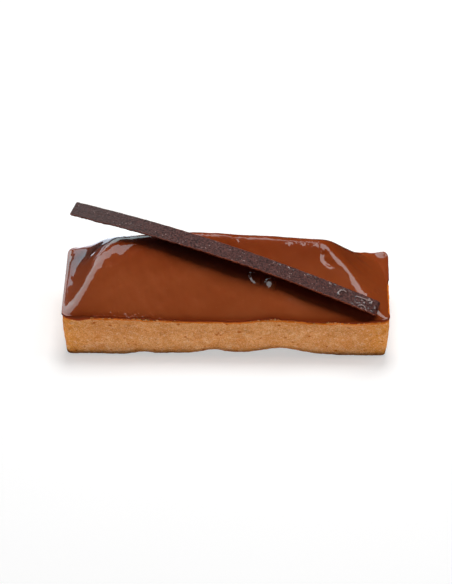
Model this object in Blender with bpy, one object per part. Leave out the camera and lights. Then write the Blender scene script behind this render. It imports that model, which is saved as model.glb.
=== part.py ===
"""Chocolate tart: a shortcrust case, a glazed chocolate mound that fills it, and a chocolate stick on top.

Metres, +Z up.  The origin is the middle of the flat base.  +X runs along the tart and +Y to its back.
The rim, the foot and the mound are height functions of x and y, so the three solids fit each other.
"""
import bmesh
import bpy
import numpy as np

MM = 0.001
GAP = 0.3 * MM                    # air left between two pieces that touch

# Case: a tray of shortcrust, baked in a rectangular ring
CASE_LENGTH = 120.0 * MM          # outside, at the rim
CASE_DEPTH = 42.4 * MM
CORNER_RADIUS = 3.2 * MM          # in plan
INNER_RADIUS = 0.6 * MM           # the tightest corner of any inner loop
DRAFT = 1.2 * MM                  # each wall leans out by this from foot to rim
WALL = 3.4 * MM
FLOOR = 3.0 * MM
RIM_HEIGHT = 16.6 * MM
RIM_ROUND = 0.6 * MM
FOOT_ROUND = 0.9 * MM
FOOT_REACH = 8.0 * MM             # how far in from a wall the underside may lift off the table
WALL_BELLY = 0.004                # share by which the walls stand out at mid height

# Mound: four slopes that meet in hips and a ridge, with a thin lip lying on the rim
LIP_INSET = 0.25 * MM
LIP_HEIGHT = 0.5 * MM
FRONT_SLOPE = 0.51
FRONT_FOOT = 0.7 * MM             # the glaze stands this much steeper at the front edge
BACK_SLOPE = 1.80
BACK_CURVE = 0.0365 / MM           # how fast the back slope eases off towards the ridge
LEFT_SLOPE = 0.92
LEFT_EASE = 0.38                  # share of that slope lost at the back
LEFT_FLARE = 2.2 * MM
RIGHT_SLOPE = 0.67
RIGHT_FLARE = 1.0 * MM
FLARE_SHARE = 0.6                 # how much of a slope its flare takes away at the very edge
FRONT_FOOT_WIDTH = 1.4 * MM
CREST_START = 10.2 * MM           # the left slope bends over into a gentle crest at about this height
CREST_SLOPE = 0.19
CREST_ROUND = 0.9 * MM
LEFT_HIP_ROUND = 0.95 * MM        # how softly an end slope runs into a side slope
LEFT_HIP_SPREAD = 0.9 * MM        # the left hip is rounder by this near the ridge
RIGHT_HIP_ROUND = 0.9 * MM
RIDGE_ROUND = 1.9 * MM            # how softly the front and back slopes meet
RIDGE_Y = 9.0 * MM
RIDGE_LEFT = -38.0 * MM
RIDGE_RIGHT = 32.0 * MM

# Stick: a thin bowed strip cut from a sheet of chocolate
STICK_RIGHT = (55.1 * MM, -18.6 * MM)
STICK_LEFT = (-57.0 * MM, 18.1 * MM)
STICK_WIDTH = 7.3 * MM
STICK_THICKNESS = 1.7 * MM
STICK_UNDERCUT = 1.3 * MM         # the cut sides lean in below by this
STICK_CHAMFER = 0.2 * MM
STICK_RIGHT_TOP = 21.8 * MM       # top face above the table at the right end
STICK_LEFT_TOP = 39.0 * MM
STICK_BOW = 3.2 * MM              # how far the middle stands above the straight line
STICK_ROLL = 0.12                 # the top face leans to the front by this many radians

# Facets
LONG_STEPS = 40
SHORT_STEPS = 14
CORNER_STEPS = 4
MOUND_RINGS = 16
RING_CROWDING = 1.15                # above 1 the mound's loops lie closer together near the rim
STICK_STEPS = 36


def swell(x, centre, half_width, height):
    """One smooth bump: height times exp(-((x - centre) / half_width) squared)."""
    return height * np.exp(-(((x - centre) / half_width) ** 2))


def across(y):
    """0 at the front edge of the case, 1 at its back edge."""
    return np.clip(y / CASE_DEPTH + 0.5, 0.0, 1.0)


def rim_height(x, y):
    """Height of the case's rim above the table: an uneven hand-pressed edge."""
    front = swell(x, -50 * MM, 27 * MM, 1.7 * MM) + swell(x, 18 * MM, 9 * MM, 1.3 * MM)
    front = front + swell(x, 62 * MM, 9 * MM, 0.8 * MM)
    back = swell(x, -58 * MM, 20 * MM, 0.9 * MM) + swell(x, 2 * MM, 19 * MM, 0.8 * MM)
    back = back - swell(x, 58 * MM, 17 * MM, 0.6 * MM)
    blend = across(y)
    return RIM_HEIGHT + (1 - blend) * front + blend * back


def foot_lift(x, y):
    """How far the foot of the wall stands off the table: shallow arches between resting places."""
    front = swell(x, 3 * MM, 27 * MM, 1.2 * MM) + swell(x, -30 * MM, 3.5 * MM, 0.9 * MM)
    front = front + swell(x, -4.5 * MM, 4.5 * MM, 1.4 * MM) + swell(x, 21 * MM, 9.5 * MM, 2.6 * MM)
    back = swell(x, -24 * MM, 12 * MM, 2.1 * MM) + swell(x, 12 * MM, 6 * MM, 1.2 * MM)
    back = back + swell(x, 38 * MM, 8 * MM, 1.6 * MM)
    blend = across(y)
    ends = swell(y, -2 * MM, 6 * MM, 0.7 * MM) * (np.abs(x) > CASE_LENGTH / 2 - 2 * DRAFT)
    return (1 - blend) ** 2 * front + blend ** 2 * back + ends


def soft_minimum(heights, softness):
    """The lowest of several heights, rounded where they cross: -k log(sum of exp(-height / k))."""
    low = np.minimum.reduce(heights)
    return low - softness * np.log(sum(np.exp((low - height) / softness) for height in heights))


def step(value, low, high):
    """0 below low, 1 above high, and 3 t^2 - 2 t^3 between them."""
    t = np.clip((value - low) / (high - low), 0.0, 1.0)
    return t * t * (3 - 2 * t)


def flared(distance, slope, flare):
    """A slope with a flatter foot: slope times (d - share flare (1 - exp(-d / flare)))."""
    return slope * (distance - FLARE_SHARE * flare * (1 - np.exp(-distance / flare)))


def left_slope(from_left, y):
    """Height over the left end: a flared slope, hollowed at the back, that bends over into a gentle crest."""
    height = flared(from_left, LEFT_SLOPE, LEFT_FLARE) * (1 - LEFT_EASE * across(y) ** 4)
    height = height + swell(from_left, 12 * MM, 4 * MM, 0.9 * MM) * (1 - across(y) ** 3)
    height = height - swell(from_left, 9 * MM, 4 * MM, 0.8 * MM) * step(y, 2 * MM, 10 * MM)
    return soft_minimum([height, CREST_START + CREST_SLOPE * from_left], CREST_ROUND)


def right_slope(from_right, x, y):
    """Height over the right end: a flared slope with a shoulder, that dips low towards the back corner."""
    dip = across(y) ** 3 * swell(x, 46 * MM, 12 * MM, 7.4 * MM)
    shoulder = (1 - across(y) ** 2) * swell(from_right, 19 * MM, 8 * MM, 1.6 * MM)
    return np.maximum(flared(from_right, RIGHT_SLOPE, RIGHT_FLARE) - dip + shoulder, 0)


def mound_height(x, y):
    """Height of the mound above the rim: the soft minimum of four slopes, one rising from each side."""
    half_x = CASE_LENGTH / 2 - LIP_INSET
    half_y = CASE_DEPTH / 2 - LIP_INSET
    from_front = np.maximum(half_y + y, 0)
    from_back = np.maximum(half_y - y, 0)
    front = FRONT_SLOPE * from_front + FRONT_FOOT * (1 - np.exp(-from_front / FRONT_FOOT_WIDTH))
    back = BACK_SLOPE * from_back - BACK_CURVE * from_back ** 2
    back = back - across(y) ** 2 * swell(x, 34 * MM, 14 * MM, 1.5 * MM)
    left = left_slope(np.maximum(half_x + x, 0), y)
    right = right_slope(np.maximum(half_x - x, 0), x, y)
    roof = soft_minimum([front, back], RIDGE_ROUND)
    left_round = LEFT_HIP_ROUND + LEFT_HIP_SPREAD * step(roof, 9.0 * MM, 14.5 * MM)
    body = soft_minimum([roof, left], left_round)
    height = soft_minimum([body, right], RIGHT_HIP_ROUND)
    crest = swell(x, -14 * MM, 17 * MM, 1.8 * MM) * swell(y, 10 * MM, 6 * MM, 1.0)
    return np.maximum(height, 0) + crest


def outline(inset):
    """Points round the case's plan, counter-clockwise from the front left: straight sides and arc corners."""
    half_x = CASE_LENGTH / 2 - inset
    half_y = CASE_DEPTH / 2 - inset
    radius = max(CORNER_RADIUS - inset, INNER_RADIUS)
    points = []
    corners = ((1, -1, -0.5), (1, 1, 0.0), (-1, 1, 0.5), (-1, -1, 1.0))
    steps = (LONG_STEPS, SHORT_STEPS, LONG_STEPS, SHORT_STEPS)
    start = np.array([-half_x + radius, -half_y])
    for (sign_x, sign_y, turn), count in zip(corners, steps):
        centre = np.array([sign_x * (half_x - radius), sign_y * (half_y - radius)])
        angles = np.pi * (turn + 0.5 * np.linspace(0, 1, CORNER_STEPS + 1))
        arc = centre + radius * np.stack([np.cos(angles), np.sin(angles)], axis=1)
        side = start + (arc[0] - start) * np.linspace(0, 1, count, endpoint=False)[:, None]
        points.extend([side, arc[:-1]])
        start = arc[-1]
    return np.concatenate(points)


def ring(points, height):
    """Plan points and their heights as one closed loop in space."""
    return np.column_stack([points, np.broadcast_to(height, len(points))])


def case_rings():
    """Loops of the case, from its flat underside out, up the wall, over the rim and down to its floor."""
    base = outline(DRAFT + FOOT_REACH)
    rings = [ring(base, 0.0)]
    for inset, share in ((0.5 * FOOT_REACH, 0.3), (FOOT_ROUND, 1.0)):
        points = outline(DRAFT + inset)
        rings.append(ring(points, share * foot_lift(*points.T)))
    foot = outline(DRAFT)
    low = foot_lift(*foot.T) + FOOT_ROUND
    rim = outline(0.0)
    high = rim_height(*rim.T) - RIM_ROUND
    for share in (0.0, 0.3, 0.6, 0.85, 1.0):
        belly = 1 + WALL_BELLY * np.sin(np.pi * share)
        points = (foot + (rim - foot) * share) * belly
        rings.append(ring(points, low + (high - low) * share))
    for inset, drop in ((RIM_ROUND, 0.0), (WALL - RIM_ROUND, 0.0), (WALL, RIM_ROUND)):
        points = outline(inset)
        rings.append(ring(points, rim_height(*points.T) - drop))
    rings.append(ring(outline(WALL + DRAFT), FLOOR))
    return rings


def mound_rings():
    """Loops of the filling: its foot in the case, its side, the lip on the rim, then the hipped mound."""
    rings = [ring(outline(WALL + DRAFT + GAP), FLOOR + GAP)]
    for inset, drop in ((WALL + GAP, RIM_ROUND), (WALL - RIM_ROUND, -GAP), (LIP_INSET, -GAP)):
        points = outline(inset)
        rings.append(ring(points, rim_height(*points.T) - drop))
    edge = outline(LIP_INSET)
    ridge_x = RIDGE_LEFT + (RIDGE_RIGHT - RIDGE_LEFT) * (edge[:, 0] / CASE_LENGTH + 0.5)
    ridge = np.column_stack([np.clip(ridge_x, RIDGE_LEFT, RIDGE_RIGHT), np.full(len(edge), RIDGE_Y)])
    for share in np.linspace(0, 1, MOUND_RINGS) ** RING_CROWDING:
        points = edge + (ridge - edge) * share
        lip = rim_height(*points.T) + GAP + LIP_HEIGHT
        rings.append(ring(points, lip + mound_height(*points.T)))
    return rings


def stick_rings():
    """Cross-sections of the stick along its bowed line, from the right end to the left end."""
    right = np.array(STICK_RIGHT)
    left = np.array(STICK_LEFT)
    along = (left - right) / np.linalg.norm(left - right)
    back = np.array([along[1], -along[0]])
    half = STICK_WIDTH / 2
    low_half = half - STICK_UNDERCUT
    rings = []
    for share in np.linspace(0, 1, STICK_STEPS + 1):
        middle = right + (left - right) * share
        top = STICK_RIGHT_TOP + (STICK_LEFT_TOP - STICK_RIGHT_TOP) * share
        top = top + 4 * STICK_BOW * share * (1 - share)
        section = ((-low_half, -STICK_THICKNESS), (-half, -STICK_CHAMFER), (-half + STICK_CHAMFER, 0.0),
                   (half - STICK_CHAMFER, 0.0), (half, -STICK_CHAMFER), (low_half, -STICK_THICKNESS))
        loop = []
        for reach, depth in section:
            plan = middle + back * reach * np.cos(STICK_ROLL)
            loop.append((plan[0], plan[1], top + depth + reach * np.sin(STICK_ROLL)))
        rings.append(np.array(loop))
    return rings


def solid(name, rings, material):
    """Skin the loops into one closed body: quads between neighbours and a cap at each end.

    A last loop that has shrunk to a line, such as the mound's ridge, closes by itself.
    """
    count = len(rings[0])
    mesh = bpy.data.meshes.new(name)
    work = bmesh.new()
    verts = [[work.verts.new(point) for point in loop] for loop in rings]
    for lower, upper in zip(verts, verts[1:]):
        for i in range(count):
            j = (i + 1) % count
            work.faces.new((lower[i], lower[j], upper[j], upper[i]))
    work.faces.new(reversed(verts[0]))
    if np.ptp(rings[-1][:, 1]) > GAP:
        work.faces.new(verts[-1])
    bmesh.ops.remove_doubles(work, verts=work.verts, dist=1e-6)
    bmesh.ops.triangulate(work, faces=work.faces)
    bmesh.ops.recalc_face_normals(work, faces=work.faces)
    work.to_mesh(mesh)
    work.free()
    mesh.shade_smooth()
    mesh.set_sharp_from_angle(angle=np.radians(35))
    mesh.materials.append(material)
    body = bpy.data.objects.new(name, mesh)
    bpy.context.scene.collection.objects.link(body)
    return body


def food_material(name, colour, roughness):
    """A plain Principled finish in one colour."""
    material = bpy.data.materials.new(name)
    material.use_nodes = True
    shader = material.node_tree.nodes["Principled BSDF"]
    shader.inputs["Base Color"].default_value = (*colour, 1.0)
    shader.inputs["Roughness"].default_value = roughness
    shader.inputs["Metallic"].default_value = 0.0
    return material


def build_tart():
    """Make the three pieces of the tart."""
    crust = food_material("baked shortcrust", (0.47, 0.20, 0.075), 0.75)
    glaze = food_material("chocolate glaze", (0.22, 0.048, 0.012), 0.12)
    dark = food_material("dark chocolate", (0.065, 0.030, 0.024), 0.45)
    solid("pastry_case", case_rings(), crust)
    solid("chocolate_filling", mound_rings(), glaze)
    solid("chocolate_stick", stick_rings(), dark)


for leftover in list(bpy.data.objects):
    bpy.data.objects.remove(leftover, do_unlink=True)
build_tart()
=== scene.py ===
# %% [markdown]
# # A long chocolate tart, step by step
# The tart has three parts: a shortcrust case, a mound of chocolate under a mirror glaze, and a thin bowed
# stick of dark chocolate that leans across it.  The imported model gives the case its size, and its parts
# are hidden once the fine ones are built.
# Here each one gets a fine surface, worked out from formulas, and a finish made from noise patterns.  A few
# crumbs on the rim are a fourth piece, too small for the imported model.

import bpy
import numpy as np
from mathutils import Matrix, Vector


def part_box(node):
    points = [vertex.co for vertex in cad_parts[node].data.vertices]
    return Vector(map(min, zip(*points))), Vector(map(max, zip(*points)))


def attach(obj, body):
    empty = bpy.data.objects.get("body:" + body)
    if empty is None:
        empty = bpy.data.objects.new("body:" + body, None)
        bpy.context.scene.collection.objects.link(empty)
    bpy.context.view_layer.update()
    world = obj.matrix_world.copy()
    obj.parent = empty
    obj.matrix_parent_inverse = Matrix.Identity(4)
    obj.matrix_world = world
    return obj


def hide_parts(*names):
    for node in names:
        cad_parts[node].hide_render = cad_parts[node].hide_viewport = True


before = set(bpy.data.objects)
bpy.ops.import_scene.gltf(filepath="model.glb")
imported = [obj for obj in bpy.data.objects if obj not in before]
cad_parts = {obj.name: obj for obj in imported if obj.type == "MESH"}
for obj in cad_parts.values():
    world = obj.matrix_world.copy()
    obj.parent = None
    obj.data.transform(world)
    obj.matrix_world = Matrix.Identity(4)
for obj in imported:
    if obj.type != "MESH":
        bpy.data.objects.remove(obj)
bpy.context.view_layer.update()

MM = 0.001
case_low, case_high = (np.array(corner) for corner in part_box("pastry_case"))
mound_low, mound_high = (np.array(corner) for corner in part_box("chocolate_filling"))
stick_low, stick_high = (np.array(corner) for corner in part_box("chocolate_stick"))
print("case", np.round((case_high - case_low) / MM, 1), "mm; stick top", round(stick_high[2] / MM, 1), "mm")

# %% [markdown]
# ## Camera
# A small cake is usually shown through a long lens from a low seat at the table: here about 38 degrees above
# the table, 1.1 m away.  A long lens keeps the long sides nearly parallel.  The camera is built from three
# directions: back towards the lens, to the right, and up, turned a little about its own axis.

# %% Camera
VIEW_HEIGHT = np.radians(38.0)       # above the table
VIEW_TURN = np.radians(1.65)         # a little to the right of straight on
VIEW_ROLL = np.radians(-0.60)
VIEW_DISTANCE = 1.10
VIEW_AIM = np.array([-0.35, 0.0, 14.1]) * MM
LENS = 183.3                         # mm, on a 36 mm tall sensor


def view_axes(height, turn, roll):
    """Right, up and back directions of a camera that looks down by height and is turned about +Z by turn."""
    back = np.array([np.sin(turn) * np.cos(height), -np.cos(turn) * np.cos(height), np.sin(height)])
    right = np.cross([0.0, 0.0, 1.0], back)
    right = right / np.linalg.norm(right)
    up = np.cross(back, right)
    return np.cos(roll) * right + np.sin(roll) * up, np.cos(roll) * up - np.sin(roll) * right, back


def add_camera():
    """Stand the camera VIEW_DISTANCE back from VIEW_AIM."""
    right, up, back = view_axes(VIEW_HEIGHT, VIEW_TURN, VIEW_ROLL)
    camera = bpy.data.objects.new("camera", bpy.data.cameras.new("camera"))
    place = np.eye(4)
    place[:3, :3] = np.column_stack([right, up, back])
    place[:3, 3] = VIEW_AIM + VIEW_DISTANCE * back
    camera.matrix_world = Matrix(place.tolist())
    camera.data.lens = LENS
    camera.data.sensor_width = 36.0
    camera.data.clip_start = 0.05
    bpy.context.scene.collection.objects.link(camera)
    bpy.context.scene.camera = camera
    return camera


add_camera()
print("camera at", np.round(np.array(bpy.context.scene.camera.location) / MM), "mm")

# %% [markdown]
# ## A skin over a grid of points
# Every surface here is a grid of points, rows by columns, and `skin` joins neighbours with four-sided faces.
# A mesh could also be pushed into shape by hand.  A grid was chosen because each point then comes from a
# formula, so a size or a curve can be changed later in one place.

# %% Grid skin


def grid_quads(index):
    """Faces between neighbours in a grid of point numbers: (r, c), (r, c + 1), (r + 1, c + 1), (r + 1, c)."""
    corners = [index[:-1, :-1], index[:-1, 1:], index[1:, 1:], index[1:, :-1]]
    return np.stack(corners, axis=-1).reshape(-1, 4)


def skin(name, points, wraps=True, caps=(False, False), attributes=None):
    """A smooth mesh over a rows x columns grid of points.

    With wraps the last column meets the first.  A cap closes the first or last row with one flat face.
    """
    rows, columns = points.shape[:2]
    index = np.arange(rows * columns).reshape(rows, columns)
    if wraps:
        index = np.column_stack([index, index[:, 0]])
    faces = grid_quads(index).tolist()
    if caps[0]:
        faces.append(index[0, :columns][::-1].tolist())
    if caps[1]:
        faces.append(index[-1, :columns].tolist())
    return mesh_object(name, points.reshape(-1, 3), faces, attributes)


def mesh_object(name, points, faces, attributes=None):
    """An object at the origin from points and faces, with one number per point for each named attribute."""
    mesh = bpy.data.meshes.new(name)
    mesh.from_pydata(points.tolist(), [], faces)
    for label, values in (attributes or {}).items():
        layer = mesh.attributes.new(label, "FLOAT", "POINT")
        layer.data.foreach_set("value", np.ascontiguousarray(values, dtype=np.float32).reshape(-1))
    mesh.validate()
    mesh.update()
    mesh.shade_smooth()
    thing = bpy.data.objects.new(name, mesh)
    bpy.context.scene.collection.objects.link(thing)
    print(name, len(points), "points,", sum(len(face) - 2 for face in faces), "triangles")
    return thing


print("a grid of 3 x 4 points has", len(grid_quads(np.arange(12).reshape(3, 4))), "faces")

# %% [markdown]
# ## Unevenness, swells and steps
# Baked dough and poured glaze are never quite even.  `waves` gives a smooth unevenness of one chosen size:
# many cosine waves of about that length in random directions, added up.  A noise texture could do it too,
# but a formula moves the points themselves.  The random numbers are seeded, so each run agrees.

# %% Uneven waves and simple changes


def waves(points, length, seed, count=28):
    """Smooth unevenness of about +-1: sqrt(2 / count) times the sum of cos(k . p + phase) over random k.

    Each k points in a random direction with |k| = 2 pi / length, varied by a third either way.
    """
    rng = np.random.default_rng(seed)
    direction = rng.normal(size=(count, 3))
    direction /= np.linalg.norm(direction, axis=1, keepdims=True)
    k = direction * (2 * np.pi / length * rng.uniform(0.67, 1.33, (count, 1)))
    phase = rng.uniform(0, 2 * np.pi, count)
    flat = points.reshape(-1, 3)
    total = np.zeros(len(flat))
    for wave, shift in zip(k, phase):
        total += np.cos(flat @ wave + shift)
    return (total * np.sqrt(2 / count)).reshape(points.shape[:-1])


def grid_normals(points, wraps=True):
    """Unit normals of a grid: the cross product of its column and row differences."""
    if wraps:
        along = np.roll(points, -1, axis=1) - np.roll(points, 1, axis=1)
    else:
        along = np.gradient(points, axis=1)
    normal = np.cross(along, np.gradient(points, axis=0))
    return normal / np.maximum(np.linalg.norm(normal, axis=-1, keepdims=True), 1e-12)


def swell(x, centre, half_width, height=1.0):
    """One smooth bump: height times exp(-((x - centre) / half_width) squared)."""
    return height * np.exp(-(((x - centre) / half_width) ** 2))


def step(value, low, high):
    """0 below low, 1 above high, and 3 t^2 - 2 t^3 between them."""
    t = np.clip((value - low) / (high - low), 0, 1)
    return t * t * (3 - 2 * t)


TRIAL_LINE = np.linspace(0, 0.1, 400)[:, None] * np.ones(3)
print("10 mm waves spread by", round(float(waves(TRIAL_LINE, 10 * MM, 1).std()), 2), "about zero")

# %% [markdown]
# ## The case
# Shortcrust is pressed into a rectangular ring by hand.  Its rim sags between the corners, and its foot
# lifts off the tray in shallow arches.  Both could be sculpted.  They are height functions of x and y
# instead, so that the case and the glaze that flows to its edge share the same rim.

# %% Case sizes and its two uneven edges
CASE_LENGTH = case_high[0] - case_low[0]
CASE_DEPTH = case_high[1] - case_low[1]
CORNER_RADIUS = 3.2 * MM
DRAFT = 1.2 * MM                     # each wall leans out by this from foot to rim
WALL = 3.4 * MM                      # thickness of the wall
FLOOR = 3.0 * MM                     # thickness of the floor
GAP = 0.3 * MM                       # between the filling and the case
RIM_HEIGHT = 16.6 * MM
RIM_ROUND = 0.6 * MM
FOOT_ROUND = 0.9 * MM
FOOT_REACH = 8.0 * MM                # the arches fade out this far under the case
CRUST_INSET = 0.22 * MM              # leaves room for the crumb inside the case's outline


def across(y):
    """0 at the front edge of the case, 1 at its back edge."""
    return np.clip(y / CASE_DEPTH + 0.5, 0.0, 1.0)


def rim_height(x, y):
    """Height of the case's rim above the table."""
    front = swell(x, -50 * MM, 27 * MM, 1.7 * MM) + swell(x, 18 * MM, 9 * MM, 1.3 * MM)
    front = front + swell(x, 62 * MM, 9 * MM, 0.8 * MM)
    back = swell(x, -58 * MM, 20 * MM, 0.9 * MM) + swell(x, 2 * MM, 19 * MM, 0.8 * MM)
    back = back - swell(x, 58 * MM, 17 * MM, 0.6 * MM)
    blend = across(y)
    return RIM_HEIGHT + (1 - blend) * front + blend * back


def foot_lift(x, y):
    """How far the foot of the wall stands off the table: shallow arches between resting places."""
    front = swell(x, 3 * MM, 27 * MM, 1.2 * MM) + swell(x, -30 * MM, 3.5 * MM, 0.9 * MM)
    front = front + swell(x, -4.5 * MM, 4.5 * MM, 1.4 * MM) + swell(x, 21 * MM, 9.5 * MM, 2.6 * MM)
    back = swell(x, -24 * MM, 12 * MM, 2.1 * MM) + swell(x, 12 * MM, 6 * MM, 1.2 * MM)
    back = back + swell(x, 38 * MM, 8 * MM, 1.6 * MM)
    blend = across(y)
    ends = swell(y, -2 * MM, 6 * MM, 0.7 * MM) * step(np.abs(x), CASE_LENGTH / 2 - 4 * MM, CASE_LENGTH / 2)
    return (1 - blend) ** 2 * front + blend ** 2 * back + ends


low_rim, high_rim = (rim_height(x * MM, -21 * MM) / MM for x in (5, -55))
print("front rim from", round(low_rim, 1), "to", round(high_rim, 1), "mm above the table")

# %% [markdown]
# ## The case's plan
# From above the case is a rectangle with round corners at every level.  A bevelled box has the same plan,
# but here the wall leans out, so each level has an inset of its own, and the long sides need enough points
# to carry the crumb.  So the plan is worked out as one loop of points for any inset.

# %% Plan outline


def outline(inset, long_steps=400, short_steps=140, corner_steps=16):
    """Plan points of a round-cornered rectangle, counter-clockwise from the front left corner."""
    half_x = CASE_LENGTH / 2 - inset
    half_y = CASE_DEPTH / 2 - inset
    radius = max(CORNER_RADIUS - inset, 0.6 * MM)
    points = []
    corners = ((1, -1, -0.5), (1, 1, 0.0), (-1, 1, 0.5), (-1, -1, 1.0))
    steps = (long_steps, short_steps, long_steps, short_steps)
    start = np.array([-half_x + radius, -half_y])
    for (sign_x, sign_y, turn), count in zip(corners, steps):
        centre = np.array([sign_x * (half_x - radius), sign_y * (half_y - radius)])
        angles = np.pi * (turn + 0.5 * np.linspace(0, 1, corner_steps + 1))
        arc = centre + radius * np.stack([np.cos(angles), np.sin(angles)], axis=1)
        side = start + (arc[0] - start) * np.linspace(0, 1, count, endpoint=False)[:, None]
        points.extend([side, arc[:-1]])
        start = arc[-1]
    return np.concatenate(points)


def ring(points, height):
    """Plan points and their heights as one loop."""
    return np.column_stack([points, np.broadcast_to(height, len(points))])


print("one loop of the case has", len(outline(0.0)), "points")

# %% [markdown]
# ## The case's wall
# The case is a tray of dough with a thick wall.  Its loops run from the flat underside out to the foot, up
# the wall, over the rim and down inside.  A box with a Solidify modifier would be quicker, but its rim and
# foot would be level.  With loops every point can follow the uneven rim and the arches.

# %% Loops of the case
WALL_LOOPS = 54
BELLY = 0.004                        # the wall bulges by this share of its distance from the middle


def case_loops():
    """Loops of the case, and for each loop how much crumb it has and how high up the wall it lies."""
    loops, crumb, level = [], [], []

    def add(points, height, rough, share):
        loops.append(ring(points, height))
        crumb.append(rough)
        level.append(share)

    for inset, share in ((FOOT_REACH, 0.0), (0.75 * FOOT_REACH, 0.1), (0.5 * FOOT_REACH, 0.3),
                         (0.3 * FOOT_REACH, 0.65), (FOOT_ROUND, 1.0)):
        points = outline(DRAFT + CRUST_INSET + inset)
        add(points, share * foot_lift(*points.T), 0.5 * share, 0.0)
    foot = outline(DRAFT + CRUST_INSET)
    rim = outline(CRUST_INSET)
    for turn in np.linspace(0.2, 1.0, 5)[:-1] * np.pi / 2:
        points = outline(DRAFT + CRUST_INSET + FOOT_ROUND * (1 - np.sin(turn)))
        add(points, foot_lift(*points.T) + FOOT_ROUND * (1 - np.cos(turn)), 0.8, 0.0)
    low = foot_lift(*foot.T) + FOOT_ROUND
    high = rim_height(*rim.T) - RIM_ROUND
    for share in np.linspace(0, 1, WALL_LOOPS):
        belly = 1 + BELLY * np.sin(np.pi * share)
        add((foot + (rim - foot) * share) * belly, low + (high - low) * share, 1.0, share)
    for turn in np.linspace(0, 1, 5)[1:] * np.pi / 2:
        points = outline(CRUST_INSET + RIM_ROUND * (1 - np.cos(turn)))
        add(points, rim_height(*points.T) - RIM_ROUND * (1 - np.sin(turn)), 0.7, 1.0)
    for inset, drop in ((WALL - RIM_ROUND, 0.0), (WALL, RIM_ROUND)):
        points = outline(inset)
        add(points, rim_height(*points.T) - drop, 0.0, 1.0)
    add(outline(WALL + DRAFT), FLOOR, 0.0, 0.0)
    return np.array(loops), np.array(crumb)[:, None], np.array(level)[:, None]


print("the case has", len(case_loops()[0]), "loops")

# %% [markdown]
# ## The case's crumb
# Baked shortcrust has a fine crumb.  It is raised along the surface's own normals: soft lumps, a sandy
# grain, and small pits where the dough tore from the ring.  A bump pattern alone would leave the outline
# smooth, so the coarser crumb is real height, and only the finest grain is left to the material.

# %% Crumb and case mesh


def crumb_relief(points):
    """Height of the crumb: lumps of 8 and 3 mm and a grain of 1.3 mm, less pits where 2 mm waves run low."""
    lumps = 0.07 * waves(points, 8 * MM, 11) + 0.035 * waves(points, 3 * MM, 12)
    grain = 0.022 * waves(points, 1.3 * MM, 13)
    pits = 0.09 * step(-waves(points, 2.0 * MM, 14), 1.2, 2.2)
    return (lumps + grain - pits) * MM


def make_case():
    """The baked case, closed: its crumb is raised along its normals, and its rim is ragged."""
    points, crumb, level = case_loops()
    relief = crumb_relief(points) * crumb
    ragged = 0.16 * waves(points, 4 * MM, 15) + 0.08 * waves(points, 1.6 * MM, 16)
    ragged = crumb * step(level, 0.93, 1.0) * ragged
    points = points + grid_normals(points) * relief[..., None]
    points[..., 2] = np.maximum(points[..., 2] + ragged * MM, 0.0)
    height = np.broadcast_to(level, points.shape[:2])
    return skin("baked_case", points, caps=(True, True), attributes={"wall_level": height})


case = make_case()
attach(case, "root")
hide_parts("pastry_case")
print("case box", np.round(np.array([case.bound_box[0], case.bound_box[6]]) / MM, 2).tolist())

# %% [markdown]
# ## The mound
# Under the glaze lies a mound with four slopes, like a hipped roof: a long gentle one in front, a short
# steep one behind, and one at each end.  It could be a bevelled block.  Here each slope is a formula of its
# own, and their soft minimum rounds the ridge and the hips where they meet.

# %% Mound height
LIP_INSET = 0.25 * MM                # the glaze's border lies this far inside the rim's outline
LIP_HEIGHT = 0.5 * MM                # and this far above the rim
FRONT_SLOPE = 0.51                   # slopes are rise over run
FRONT_FOOT = 0.7 * MM                # a steeper start at the front, this high
FRONT_FOOT_WIDTH = 1.4 * MM
BACK_SLOPE = 1.80
BACK_CURVE = 0.0365 / MM             # flattens the back slope with the square of the distance
LEFT_SLOPE = 0.92
LEFT_EASE = 0.38                     # the left slope is gentler towards the back by this share
LEFT_FLARE = 2.2 * MM                # a flare is a flatter foot, this wide
RIGHT_SLOPE = 0.67
RIGHT_FLARE = 1.0 * MM
FLARE_SHARE = 0.6
RIDGE_ROUND = 1.9 * MM
CREST_START = 10.2 * MM              # the left slope bends over here into a gentle crest
CREST_SLOPE = 0.19
CREST_ROUND = 0.8 * MM
LEFT_HIP_ROUND = 1.15 * MM
LEFT_HIP_SPREAD = 0.5 * MM           # the left hip is rounder by this much near the ridge
RIGHT_HIP_ROUND = 0.9 * MM


def soft_minimum(heights, softness):
    """The lowest of several heights, rounded where they cross: -k log(sum of exp(-height / k))."""
    low = np.minimum.reduce(heights)
    return low - softness * np.log(sum(np.exp((low - height) / softness) for height in heights))


def flared(distance, slope, flare):
    """A slope with a flatter foot: slope times (d - share flare (1 - exp(-d / flare)))."""
    return slope * (distance - FLARE_SHARE * flare * (1 - np.exp(-distance / flare)))


def left_slope(from_left, y):
    """Height over the left end: a flared slope, hollowed at the back, that bends over into a gentle crest."""
    height = flared(from_left, LEFT_SLOPE, LEFT_FLARE) * (1 - LEFT_EASE * across(y) ** 4)
    height = height + swell(from_left, 12 * MM, 4 * MM, 0.9 * MM) * (1 - across(y) ** 3)
    height = height - swell(from_left, 9 * MM, 4 * MM, 0.8 * MM) * step(y, 2 * MM, 10 * MM)
    return soft_minimum([height, CREST_START + CREST_SLOPE * from_left], CREST_ROUND)


def right_slope(from_right, x, y):
    """Height over the right end: a flared slope that dips low towards the back corner."""
    dip = across(y) ** 3 * swell(x, 46 * MM, 12 * MM, 7.4 * MM)
    shoulder = (1 - across(y) ** 2) * swell(from_right, 19 * MM, 8 * MM, 1.6 * MM)
    return np.maximum(flared(from_right, RIGHT_SLOPE, RIGHT_FLARE) - dip + shoulder, 0)


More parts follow.
